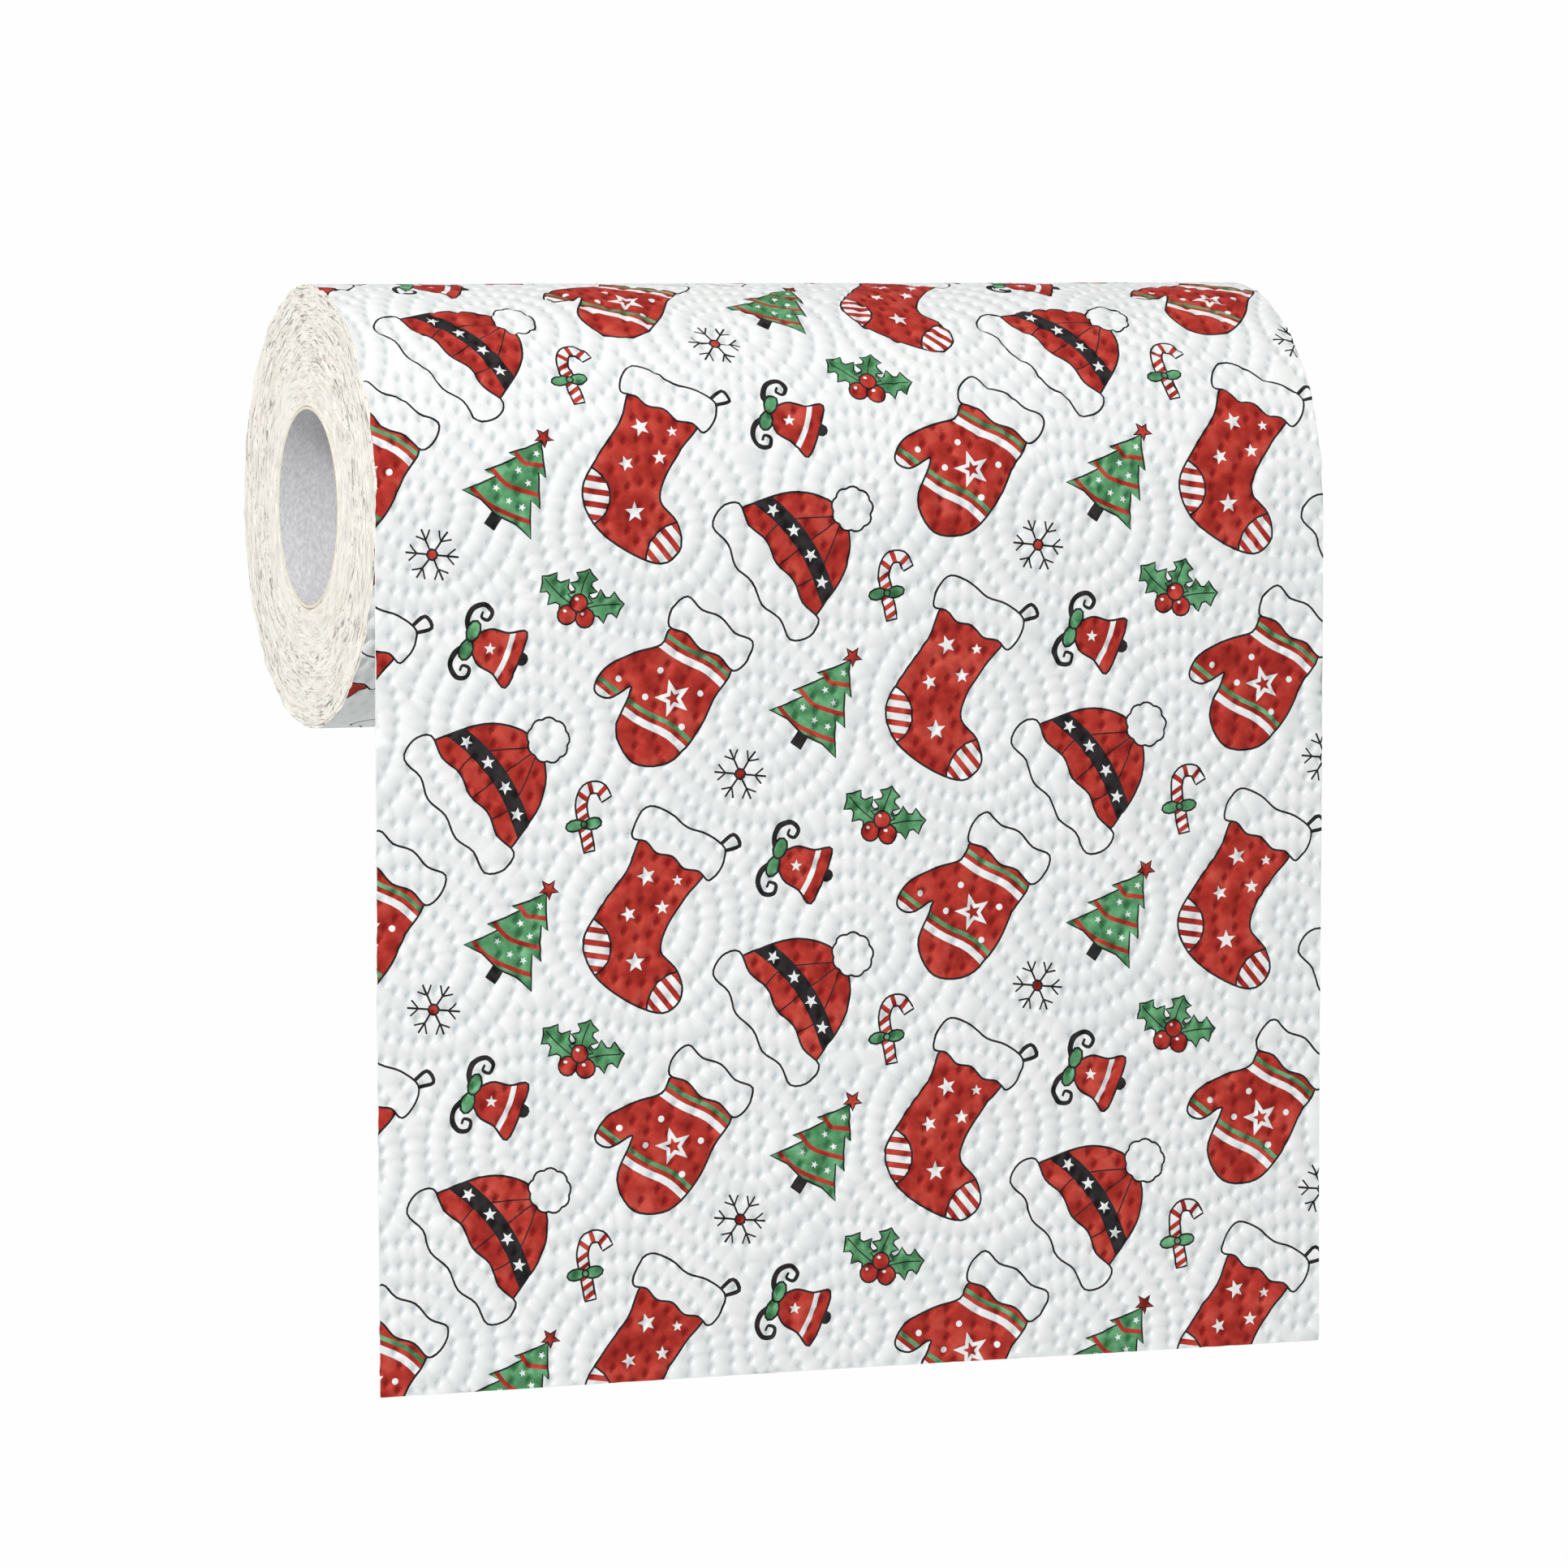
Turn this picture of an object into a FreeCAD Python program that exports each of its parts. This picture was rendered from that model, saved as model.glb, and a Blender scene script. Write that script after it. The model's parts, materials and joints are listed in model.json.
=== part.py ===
import FreeCAD, Part
import math
import os
import Sketcher

# Paper towel roll with its loose end hanging down, in millimetres.
# +X runs along the roll, -Y is the front, where the sheet leaves the roll, and +Z is up.
# The origin is the centre of the core's bore.

# Driving dimensions: name, value, what it is
driving = [
    ("roll_diameter", 100.0, "outside of the wound paper"),
    ("sheet_width", 228.0, "width of the sheet, and so the length of the roll and of its core"),
    ("core_bore", 44.0, "inside diameter of the card tube"),
    ("core_wall", 0.7, "thickness of the card"),
    ("core_fit", 0.15, "room between the card and the first turn"),
    ("sheet_thickness", 0.72, "bulk of one embossed sheet"),
    ("sheets_per_ridge", 2.0, "turns of the sheet that one ridge of an end face stands for"),
    ("ridge_height", 0.55, "height of a ridge over the valleys beside it"),
    ("tail_drop", 194.0, "how far the loose end hangs below the axis of the roll"),
]

# Sizes that follow from them
derived = [
    ("winding_bore", "core_bore + 2 * core_wall + 2 * core_fit"),
    ("ridge_pitch", "sheets_per_ridge * sheet_thickness"),
    ("ridge_count", "ceil((roll_diameter - winding_bore) / 2 / ridge_pitch) + 1"),
]

# How a sketch numbers the points of an edge, its own origin and its upright axis
START, END, CENTRE = 1, 2, 3
ORIGIN = (-1, START)
UPRIGHT_AXIS = -2

HALF_TURN = 180


def make_spreadsheet(doc):
    """Driving dimensions first, then the ones worked out from them."""
    sheet = doc.addObject("Spreadsheet::Sheet", "sizes")
    rows = [(name, str(value), note) for name, value, note in driving]
    rows += [(name, "=" + formula, "follows from the others") for name, formula in derived]
    for row, (name, content, note) in enumerate(rows, start=1):
        sheet.set(f"A{row}", name)
        sheet.set(f"B{row}", content)
        sheet.set(f"C{row}", note)
        sheet.setAlias(f"B{row}", name)
        doc.recompute()
    return sheet


def new_sketch(body, name, role):
    """Sketch on one of the body's own origin planes."""
    sketch = body.newObject("Sketcher::SketchObject", name)
    plane = next(feature for feature in body.Origin.OriginFeatures if feature.Role == role)
    sketch.AttachmentSupport = [(plane, "")]
    sketch.MapMode = "FlatFace"
    return sketch


def bind(sketch, kind, points, value, expression):
    """Adds a dimension to a sketch and ties it to the spreadsheet."""
    index = sketch.addConstraint(Sketcher.Constraint(kind, *points, value))
    sketch.setExpression(f"Constraints[{index}]", expression)


def fix_point(sketch, point, place, across, up):
    """Holds a point at a place given by two expressions, which are its distances from the origin."""
    for kind, value, expression in (("DistanceX", place.x, across), ("DistanceY", place.y, up)):
        # A distance is positive, so the side of the origin goes into the order of the two points
        points = (*ORIGIN, *point) if value >= 0 else (*point, *ORIGIN)
        bind(sketch, kind, points, abs(value), expression)


def add_outline(sketch, corners):
    """Closed outline through corners given as (place, expression across, expression up)."""
    places = [place for place, _, _ in corners]
    lines = sketch.addGeometry([Part.LineSegment(a, b) for a, b in zip(places, places[1:] + places[:1])], False)
    follows = list(lines[1:]) + [lines[0]]
    sketch.addConstraint([Sketcher.Constraint("Coincident", a, END, b, START) for a, b in zip(lines, follows)])
    for line, (place, across, up) in zip(lines, corners):
        fix_point(sketch, (line, START), place, across, up)


def add_circle(sketch, diameter, expression):
    """Circle about the sketch's origin."""
    circle = sketch.addGeometry(Part.Circle(FreeCAD.Vector(), FreeCAD.Vector(0, 0, 1), diameter / 2), False)
    sketch.addConstraint(Sketcher.Constraint("Coincident", circle, CENTRE, *ORIGIN))
    bind(sketch, "Diameter", (circle,), diameter, expression)


def make_core(doc, sizes):
    """Card tube: a ring padded evenly to both sides of the middle plane."""
    body = doc.addObject("PartDesign::Body", "core")
    ring = new_sketch(body, "core_ring", "YZ_Plane")
    add_circle(ring, sizes.core_bore, "sizes.core_bore")
    add_circle(ring, sizes.core_bore + 2 * sizes.core_wall, "sizes.core_bore + 2 * sizes.core_wall")
    tube = body.newObject("PartDesign::Pad", "core_tube")
    tube.Profile = ring
    tube.Midplane = True
    tube.setExpression("Length", "sizes.sheet_width")
    body.Tip = tube
    return body


def add_turns_profile(body, sizes):
    """Half section of the wound turns: a band as wide as the sheet, with a zigzag of ridges at both ends."""
    sketch = new_sketch(body, "turns_profile", "XY_Plane")
    ridge, valley = "sizes.sheet_width / 2", "(sizes.sheet_width / 2 - sizes.ridge_height)"
    right, left = [], []
    # A ridge at the outside of the roll, then valleys and ridges in turn, inwards past the winding's bore
    for step in range(2 * int(sizes.ridge_count) + 1):
        is_valley = step % 2 == 1
        reach = sizes.sheet_width / 2 - (sizes.ridge_height if is_valley else 0)
        rise = sizes.roll_diameter / 2 - step * sizes.ridge_pitch / 2
        up = f"sizes.roll_diameter / 2 - {step} * sizes.ridge_pitch / 2"
        across = valley if is_valley else ridge
        right.append((FreeCAD.Vector(reach, rise, 0), across, up))
        left.append((FreeCAD.Vector(-reach, rise, 0), across, up))
    add_outline(sketch, right + left[::-1])

    # Axis of the lower half turns, half a pitch behind the upper one, which joins the half rings to a spiral
    offset = sizes.ridge_pitch / 2
    half_pitch = "sizes.ridge_pitch / 2"
    ends = FreeCAD.Vector(0, offset, 0), FreeCAD.Vector(offset, offset, 0)
    axis = sketch.addGeometry(Part.LineSegment(*ends), True)
    sketch.addConstraint(Sketcher.Constraint("PointOnObject", axis, START, UPRIGHT_AXIS))
    bind(sketch, "DistanceY", (*ORIGIN, axis, START), offset, half_pitch)
    bind(sketch, "DistanceY", (*ORIGIN, axis, END), offset, half_pitch)
    bind(sketch, "DistanceX", (axis, START, axis, END), offset, half_pitch)
    return sketch


def add_half_turns(body, name, profile, axis, reverse):
    """Half of every turn, from the plane through the axis of the roll."""
    half = body.newObject("PartDesign::Revolution", name)
    half.Profile = profile
    half.ReferenceAxis = (profile, [axis])
    half.Angle = HALF_TURN
    half.Reversed = reverse
    body.Tip = half
    return half


def make_paper(doc, sizes):
    """The wound turns, bored out for the core, and the loose end that hangs from the front."""
    body = doc.addObject("PartDesign::Body", "paper")
    profile = add_turns_profile(body, sizes)
    doc.recompute()
    add_half_turns(body, "upper_turns", profile, "H_Axis", False)
    doc.recompute()
    add_half_turns(body, "lower_turns", profile, "Axis0", True)
    doc.recompute()

    bore_ring = new_sketch(body, "winding_bore_ring", "YZ_Plane")
    add_circle(bore_ring, sizes.winding_bore, "sizes.winding_bore")
    bore = body.newObject("PartDesign::Pocket", "winding_bore")
    bore.Profile = bore_ring
    bore.Type = "ThroughAll"
    bore.Midplane = True
    body.Tip = bore
    doc.recompute()

    tail_section = new_sketch(body, "tail_section", "XY_Plane")
    half_width, front = sizes.sheet_width / 2, -sizes.roll_diameter / 2
    back = front + sizes.sheet_thickness
    across = "sizes.sheet_width / 2"
    to_front, to_back = "sizes.roll_diameter / 2", "sizes.roll_diameter / 2 - sizes.sheet_thickness"
    add_outline(tail_section, [
        (FreeCAD.Vector(-half_width, front, 0), across, to_front),
        (FreeCAD.Vector(half_width, front, 0), across, to_front),
        (FreeCAD.Vector(half_width, back, 0), across, to_back),
        (FreeCAD.Vector(-half_width, back, 0), across, to_back),
    ])
    tail = body.newObject("PartDesign::Pad", "hanging_tail")
    tail.Profile = tail_section
    tail.Reversed = True
    tail.setExpression("Length", "sizes.tail_drop")
    body.Tip = tail
    return body


def check(doc, parts):
    """Stops the build if any object failed or a piece isn't one valid solid."""
    for item in doc.Objects:
        if "Invalid" in item.State or "Error" in item.State:
            raise RuntimeError(f"{item.Label} failed: {item.State}")
    for part in parts:
        if part.Shape.isNull() or not part.Shape.isValid() or len(part.Shape.Solids) != 1:
            raise RuntimeError(f"{part.Label} is not one valid solid")


def report(sizes, parts):
    """Each piece's volume beside the one worked out from its sizes."""
    card = math.pi * (sizes.core_bore + sizes.core_wall) * sizes.core_wall * sizes.sheet_width
    print("core tube by its sizes", round(card), "mm3")
    for part in parts:
        box = part.Shape.BoundBox
        print(part.Label, round(part.Shape.Volume), "mm3", len(part.Shape.Faces), "faces",
              [round(v, 2) for v in (box.XMin, box.YMin, box.ZMin, box.XMax, box.YMax, box.ZMax)])


doc = FreeCAD.newDocument("paper_towel_roll")
sizes = make_spreadsheet(doc)
parts = [make_core(doc, sizes), make_paper(doc, sizes)]
doc.recompute()
check(doc, parts)
report(sizes, parts)
os.makedirs("parts", exist_ok=True)
for part in parts:
    part.Shape.exportStep(f"parts/{part.Label}.step")
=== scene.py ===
import bpy
import json
import math
import numpy as np
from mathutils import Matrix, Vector, geometry, kdtree


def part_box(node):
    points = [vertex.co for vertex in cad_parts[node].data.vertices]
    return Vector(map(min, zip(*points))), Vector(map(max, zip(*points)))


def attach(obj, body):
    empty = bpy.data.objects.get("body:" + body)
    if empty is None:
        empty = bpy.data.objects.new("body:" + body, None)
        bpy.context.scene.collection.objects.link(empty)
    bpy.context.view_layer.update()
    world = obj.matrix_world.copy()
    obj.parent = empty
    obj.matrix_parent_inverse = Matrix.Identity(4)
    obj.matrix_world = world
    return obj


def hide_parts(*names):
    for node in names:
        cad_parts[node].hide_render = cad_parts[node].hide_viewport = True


# Paper towel roll with its loose end hanging down. Metres, in the frame of the CAD model.
# On the sheet itself sizes are in millimetres: x across it, and s along it from where it leaves the roll.
# s is 0 at the front of the roll, below 0 on the hanging end, and grows over the top towards the inside.

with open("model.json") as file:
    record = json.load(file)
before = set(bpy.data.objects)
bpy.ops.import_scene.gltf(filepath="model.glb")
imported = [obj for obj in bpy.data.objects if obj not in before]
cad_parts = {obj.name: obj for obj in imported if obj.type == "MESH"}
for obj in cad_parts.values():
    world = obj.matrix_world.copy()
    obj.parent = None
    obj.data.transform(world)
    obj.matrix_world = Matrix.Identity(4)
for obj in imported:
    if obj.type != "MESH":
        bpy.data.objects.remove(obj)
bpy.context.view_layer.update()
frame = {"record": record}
paperLow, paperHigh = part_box("paper")
print("frame loaded")


def millimetres(length):
    # A length of the frame, which is in metres and not quite round
    return round(length * 1000, 2)


# How the sheet lies. Two half turns about axes half a sheet apart make one turn of the spiral.
sheetValues = {
    "halfWidth": millimetres(paperHigh.x),
    "rollRadius": millimetres(-paperLow.y),
    "tailDrop": millimetres(-paperLow.z),
    "thickness": 0.72,
    "air": 0.02,  # between the back of a turn and the front of the next
    "seamAt": 86.0,  # where the piece with the loose end meets the outer turn
    "sway": 0.35,  # of the loose end, at its bottom
    "swayWaves": ((31, 47, 0), (57, -29, 1)),  # length across, length along, start
    "edgeIn": 0.3,  # how far the wound sheet's long edges lie inwards
    "edgeWaves": ((0.16, 2.9, 1), (0.12, 1.3, -2)),  # how much farther or less: height, length, start
    "edgeBand": 4.0,  # width beside each long edge that this moves
    "edgeStart": 6.0,  # length over which it sets in
}

# The dimples of the embossing, in rings about the middles of staggered fields
embossValues = {
    "fieldGap": 54.0,
    "fieldWander": 3.0,
    "fieldReach": 60.0,
    "rings": 8,
    "firstRing": 4.3,
    "ringGap": 5.0,
    "ringTwist": 0.37,
    "fieldTwist": 0.2,
    "dimpleGap": 3.3,
    "closest": 3.1,
    "past": 2.5,  # how far a dimple may reach out of its own field
    "across": 1.25,  # half of its width
    "along": 1.58,  # half of its length
    "tilt": math.radians(18),
    "lowest": (0.34, -0.12),  # in shares of its half width and half length
    "bowl": 1.5,  # power of its section
    "depth": 0.54,
    # Painted shade in each dimple, strongest on its upper-left side where the wall faces away from the light:
    # where it is strongest, in the same shares, then its strength and fading
    "paintedShadeMiddle": (-0.2, 0.15),
    "paintedShadeSpan": (1.7, 2.2),  # strength there, and how fast it fades
    "backHeight": 0.3,
    # How much of the painted shade the back takes, so that its bumps show
    "backShadeShare": 0.7,
    "frontRings": ((7, 1.0, 0.5), (6, 0.55, 0), (1, 0, 0)),  # points, share of the way out, start
    "backRings": ((4, 1.0, 0.25), (1, 0, 0)),
}

printValues = {
    "line": 0.44,
    "repeatAcross": 72.0,
    "repeatAlong": 100.0,
    "shiftAcross": 8.0,
    "shiftAlong": -14.0,
    "motifReach": 22.0,  # no drawing is larger from its middle
    "longestSide": 1.7,  # of an outline, so that it follows the roll
    "overlap": 0.05,  # a layer hides what lies this far inside it
}

inks = ["paper", "red", "green", "dark"]


def fullTurn(count, start=0):
    # Even angles, once round
    return (np.arange(count) + start) / count * 2 * math.pi


def around(x, y, wide, high, angle):
    # Points about a middle, at these angles
    return np.stack([x + wide * np.cos(angle), y + high * np.sin(angle)], 1)


def oval(x, y, wide, high, count=20):
    return around(x, y, wide, high, fullTurn(count))


def star(x, y, size, turn=0.0, waist=0.42):
    reach = np.where(np.arange(10) % 2 == 0, size, size * waist)
    return around(x, y, reach, reach, math.radians(90 + turn) + fullTurn(10))


def scallops(x, y, wide, high, bumps, depth=0.09, count=4):
    # Fluffy edge round an oval
    angle = fullTurn(bumps * count)
    reach = 1 + depth * np.abs(np.sin(angle * bumps / 2)) - depth / 2
    return around(x, y, wide * reach, high * reach, angle)


def alongCurve(a, b, c, d, steps):
    # Points of a smooth curve from each b to its c, where a comes before them and d after
    square, cube = 2 * a - 5 * b + 4 * c - d, 3 * b - a - 3 * c + d
    parts = [0.5 * (2 * b + (c - a) * t + square * t ** 2 + cube * t ** 3) for t in np.arange(steps) / steps]
    return np.stack(parts, 1).reshape(-1, 2)


def smoothOutline(points, steps=5):
    # Closed curve through the points
    p = np.array(points, float)
    return alongCurve(np.roll(p, 1, 0), p, np.roll(p, -1, 0), np.roll(p, -2, 0), steps)


def normals(points, closed=True):
    ahead, behind = np.roll(points, -1, 0), np.roll(points, 1, 0)
    if not closed:
        ahead[-1], behind[0] = points[-1], points[0]
    way = ahead - behind
    way /= np.linalg.norm(way, axis=1, keepdims=True)
    return np.stack([way[:, 1], -way[:, 0]], 1)


def stroke(points, width, steps=4):
    # Open line through the points, of one width or of several in turn along it
    p = np.array(points, float)
    p = np.vstack([2 * p[0] - p[1], p, 2 * p[-1] - p[-2]])
    middle = np.vstack([alongCurve(p[:-3], p[1:-2], p[2:-1], p[3:], steps), p[-2:-1]])
    widths = np.atleast_1d(width)
    wide = np.interp(np.linspace(0, 1, len(middle)), np.linspace(0, 1, len(widths)), widths)
    side = normals(middle, closed=False) * wide[:, None] / 2
    return np.vstack([middle + side, (middle - side)[::-1]])


def grown(outline, by):
    # The outline with every point moved outwards
    after = np.roll(outline, -1, 0)
    turning = np.sign(np.sum(outline[:, 0] * after[:, 1] - outline[:, 1] * after[:, 0]))
    return outline + by * turning * normals(outline)


def turned(outline, degrees):
    angle = math.radians(degrees)
    spin = np.array([[math.cos(angle), math.sin(angle)], [-math.sin(angle), math.cos(angle)]])
    return outline @ spin


# A drawing is a list of layers from the bottom up: ink, outline, and the outlines that it stays within
def plain(ink, outline, *within):
    return [(ink, outline, within)]


def filling(outline):
    # What the dark line along an outline leaves inside it
    return grown(outline, -printValues["line"] / 2)


def drawn(ink, outline, *within):
    return [("dark", grown(outline, printValues["line"] / 2), within), (ink, filling(outline), within)]


def moved(layers, turn, place, size=1.0):
    # A drawing made larger, turned and put in its place
    return [(ink, turned(part, turn) * size + place, [turned(hold, turn) * size + place for hold in within])
            for ink, part, within in layers]


def stocking():
    leg = smoothOutline([(-7, 14), (-7.3, 5), (-8.6, -4), (-8.6, -12), (-3, -17), (6, -18.4), (14, -17),
                         (16, -12), (12.6, -8), (7.4, -6), (6, -1), (6.6, 6), (7, 14)])
    cuff = smoothOutline([(-9.4, 19), (-10.6, 15.4), (-9.6, 11.6), (-6.6, 12.2), (-3.4, 11.2), (0, 12.2),
                          (3.4, 11.2), (6.6, 12.2), (9.6, 11.6), (10.6, 15.4), (9.4, 19), (4.6, 19.8),
                          (0, 19), (-4.6, 19.8)], 4)
    loop = stroke([(8, 19), (9.6, 22.4), (12, 21), (9.4, 18.4)], 0.8)
    layers = plain("dark", loop) + drawn("red", leg)
    # Striped patches on the heel and the toe
    for x, y, wide, high, way in ((-8.4, -13.4, 6.6, 6.4, 1), (16.4, -14.4, 6.8, 7.6, -1)):
        patch = oval(x, y, wide, high)
        layers += drawn("paper", patch, filling(leg))
        for off in (-4.2, -1.4, 1.4, 4.2):
            stripe = stroke([(x - 8, y + way * (off - 3)), (x + 8, y + way * (off + 3))], 1.2, 1)
            layers += plain("red", stripe, filling(patch), filling(leg))
    for x, y, size in ((-3, 6, 2.1), (3.2, 2, 1.6), (-2.6, -2.6, 1.7), (3.6, -10.6, 2.2), (3.4, 8.4, 1.2)):
        layers += plain("paper", star(x, y, size, x * 9))
    return layers + drawn("paper", cuff)


def mitten():
    hand = smoothOutline([(-7, -12), (-8, -4), (-8.8, 4), (-7, 12), (-0.6, 16), (6, 12.6), (7.6, 5.4),
                          (8.4, 3.6), (11, 8), (14.6, 8.2), (15, 3.4), (11.4, -2.6), (7.6, -7), (6.6, -12)])
    cuff = smoothOutline([(-8.4, -11), (-9.8, -14.4), (-8.6, -18.2), (-4.4, -17.6), (0, -18.6), (4.2, -17.6),
                          (8.2, -18.2), (9.6, -14.4), (8.2, -11), (4.2, -11.8), (0, -10.8), (-4.2, -11.8)], 4)
    layers = drawn("red", hand)
    for y in (-7.6, 7.8):
        broad = stroke([(-12, y + 1), (-4, y - 0.4), (4, y + 0.6), (16, y)], 1.5)
        narrow = stroke([(-12, y - 1.2), (-4, y - 2.6), (4, y - 1.6), (16, y - 2.2)], 0.9)
        layers += plain("paper", broad, filling(hand)) + plain("green", narrow, filling(hand))
    layers += plain("paper", star(-0.6, 0.6, 4.0, 12)) + plain("red", star(-0.6, 0.6, 1.8, 12))
    for x, y in ((-5.4, 4.4), (4.6, 3.6), (-5, -3.4), (4.8, -2.6), (11.4, 3.6)):
        layers += plain("paper", oval(x, y, 0.7, 0.7, 8))
    return layers + drawn("paper", cuff)


def cap():
    dome = smoothOutline([(-13, -8), (-12.6, -1), (-9, 7), (-2.4, 11.8), (4.4, 11), (9.8, 6.4), (12.8, -1),
                          (13, -8), (0, -9)])
    brim = smoothOutline([(-15, -5), (-16.6, -8.6), (-14.6, -12.4), (-9.6, -11.8), (-5, -13.2), (0, -12.2),
                          (5, -13.2), (9.6, -11.8), (14.6, -12.4), (16.6, -8.6), (15, -5), (10, -5.8),
                          (5, -4.6), (0, -5.6), (-5, -4.6), (-10, -5.8)], 4)
    layers = drawn("red", dome)
    for x in (-5.4, 0.6, 6.4):
        layers += plain("dark", stroke([(x, -6), (x * 1.1, 1), (1, 12)], 0.3), filling(dome))
    layers += plain("dark", stroke([(-16, -1.4), (-6, 1.2), (4, 1.4), (16, -1.6)], 3.6), filling(dome))
    for x, y in ((-9.4, 0.2), (-3.2, 1.4), (3.2, 1.4), (9.2, 0.1)):
        layers += plain("paper", star(x, y, 1.5, x * 5))
    return layers + drawn("paper", brim) + drawn("paper", scallops(1, 14.4, 4.6, 4.4, 9))


def firTree():
    edge = [(0, 11.4), (2.2, 8), (5, 4.6), (3, 4.9), (5, 1.6), (7.6, -1.8), (4.8, -1.5), (7, -5), (9.6, -8.4),
            (5, -7.7), (0, -8.6)]
    green = np.array(edge + [(-x, y) for x, y in edge[-2:0:-1]])
    trunk = np.array([(-1.2, -11.6), (1.4, -11.6), (1.2, -7), (-1.2, -7)])
    layers = drawn("dark", trunk) + drawn("green", green)
    for x, y in ((2.4, 5.4), (5, -1), (7.4, -7)):
        garland = stroke([(-x - 3, y + 1), (-x / 2, y - 0.6), (x / 3, y + 0.2), (x + 3, y + 2.4)], 1.0)
        layers += plain("red", garland, filling(green))
    for x, y in ((0.4, 8.2), (-1.2, 2.6), (2.2, 1.4), (-3.4, -3.6), (0.6, -4.4), (4, -3.8)):
        layers += plain("paper", star(x, y, 0.9, x * 20))
    return layers + drawn("red", star(0, 12.4, 2.3))


def leaf(length, wide, turn, x, y):
    # Holly leaf with hollows between its points
    along = np.array([0.0, 0.1, 0.2, 0.3, 0.4, 0.5, 0.6, 0.7, 0.8, 0.9, 1.0])
    reach = np.array([0.0, 0.5, 1.0, 0.55, 0.62, 1.1, 0.55, 0.5, 0.85, 0.3, 0.0]) * wide
    half = np.stack([along * length, reach], 1)
    outline = np.vstack([half[:-1], (half * (1, -1))[:0:-1]])
    vein = stroke([(0.6, 0), (length * 0.5, 0.3), (length * 0.92, 0)], 0.3)
    return moved(drawn("green", outline) + plain("dark", vein), turn, (x, y))


def holly():
    layers = leaf(11, 3.6, 18, 0.6, 0.6) + leaf(11, 3.6, 150, -0.6, 0.6) + leaf(9, 3.2, 84, 0, 1.2)
    for x, y, size in ((-2.2, -1.4, 2.3), (2.3, -1.2, 2.3), (0.1, 1.9, 2.1)):
        glint = oval(x - 0.7, y + 0.8, 0.5, 0.4, 6)
        layers += drawn("red", oval(x, y, size, size, 14)) + plain("paper", glint)
    return layers


def cane():
    stick = stroke([(-2.4, -7.6), (-2.4, -2), (-2.3, 3), (-0.4, 6), (2.6, 5.8), (3.8, 3)], 2.7)
    layers = drawn("paper", stick)
    for y in (-6.6, -4.4, -2.2, 0, 2.2):
        layers += plain("red", stroke([(-4.6, y - 0.8), (-0.2, y + 1)], 1.05, 1), filling(stick))
    for ends in ([(-3.4, 6.8), (-0.4, 3.6)], [(0.4, 8), (1, 3.6)], [(4.8, 6.2), (1.6, 4)]):
        layers += plain("red", stroke(ends, 1.1, 1), filling(stick))
    bow = drawn("green", oval(-4.6, -1.2, 2.2, 1.3, 10)) + drawn("green", oval(-0.4, -1.6, 2.2, 1.3, 10))
    return layers + bow + drawn("green", oval(-2.4, -1.4, 0.8, 0.8, 8))


def curl(x, y, way):
    # Loose end of a dark ribbon
    path = [(0, 0), (2.4, 1.6), (5, 1.4), (6.6, -0.6), (5.8, -2.6), (4, -2.4), (4, -0.9), (5.2, -0.8)]
    ribbon = stroke(path, (1.3, 1.1, 0.8, 0.5))
    return plain("dark", np.array([(x + way * px, y + py) for px, py in ribbon]))


def bell():
    body = smoothOutline([(-6, -4.6), (-4.4, -1), (-3.6, 3), (0, 5.6), (3.6, 3), (4.4, -1), (6, -4.6),
                          (0, -5.2)], 4)
    clapper = oval(0.6, -5.6, 1.4, 1.4, 10)
    layers = plain("dark", clapper) + curl(1.2, 6.4, 1) + curl(-1.2, 6.4, -1) + drawn("red", body)
    layers += plain("paper", stroke([(-7, -1.6), (0, -2.4), (7, -1.6)], 1.1), filling(body))
    layers += drawn("green", oval(-2, 6, 2.2, 1.4, 10)) + drawn("green", oval(2, 6, 2.2, 1.4, 10))
    return layers + plain("paper", star(0, 1.4, 1.3))


def snowflake():
    arm = []
    for path, width in (([(0, 0), (0, 5.6)], 0.42), ([(-1.6, 4.8), (0, 3.2)], 0.36),
                        ([(0, 3.2), (1.6, 4.8)], 0.36)):
        arm += plain("dark", stroke(path, width, 1))
    layers = []
    for number in range(6):
        layers += moved(arm, number * 60, (0, 0))
    return layers + drawn("red", oval(0, 0, 1.1, 1.1, 8))


# What is drawn in one repeat: the motif, its place, its turn in degrees and its size
motifs = [
    (stocking, 12.3, 75.8, -29.5, 1.08),
    (cap, 48.5, 55.6, -54, 1.08),
    (mitten, 18.8, 23.4, 146, 1.1),
    (firTree, 54.7, 20.7, -35, 1.0),
    (holly, 68.4, -7.7, -13, 0.95),
    (cane, 0.2, -3.2, 11, 1.0),
    (bell, 49.6, 83.7, 67, 1.1),
    (snowflake, 34.9, 5.2, -36, 1.1),
]


def inPolygon(points, outline):
    x, y = points[:, 0, None], points[:, 1, None]
    x0, y0 = outline[:, 0], outline[:, 1]
    x1, y1 = np.roll(x0, -1), np.roll(y0, -1)
    crosses = (y0 > y) != (y1 > y)
    with np.errstate(divide="ignore", invalid="ignore"):
        at = x0 + (y - y0) / (y1 - y0) * (x1 - x0)
    return np.sum(crosses & (x < at), 1) % 2 == 1


def inLayer(points, outline, within):
    inside = inPolygon(points, outline)
    for hold in within:
        inside &= inPolygon(points, hold)
    return inside


def inBand(points, half, low, high):
    # Which points are nearer than half to the sheet's middle line, and between low and high along it
    return (np.abs(points[:, 0]) < half) & (points[:, 1] > low) & (points[:, 1] < high)


def finer(outline):
    # The same outline with its long sides cut up
    after = np.roll(outline, -1, 0)
    lengths = np.linalg.norm(after - outline, axis=1)
    counts = np.maximum(1, np.ceil(lengths / printValues["longestSide"])).astype(int)
    return np.vstack([a + (b - a) * np.arange(n)[:, None] / n for a, b, n in zip(outline, after, counts)])


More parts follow.
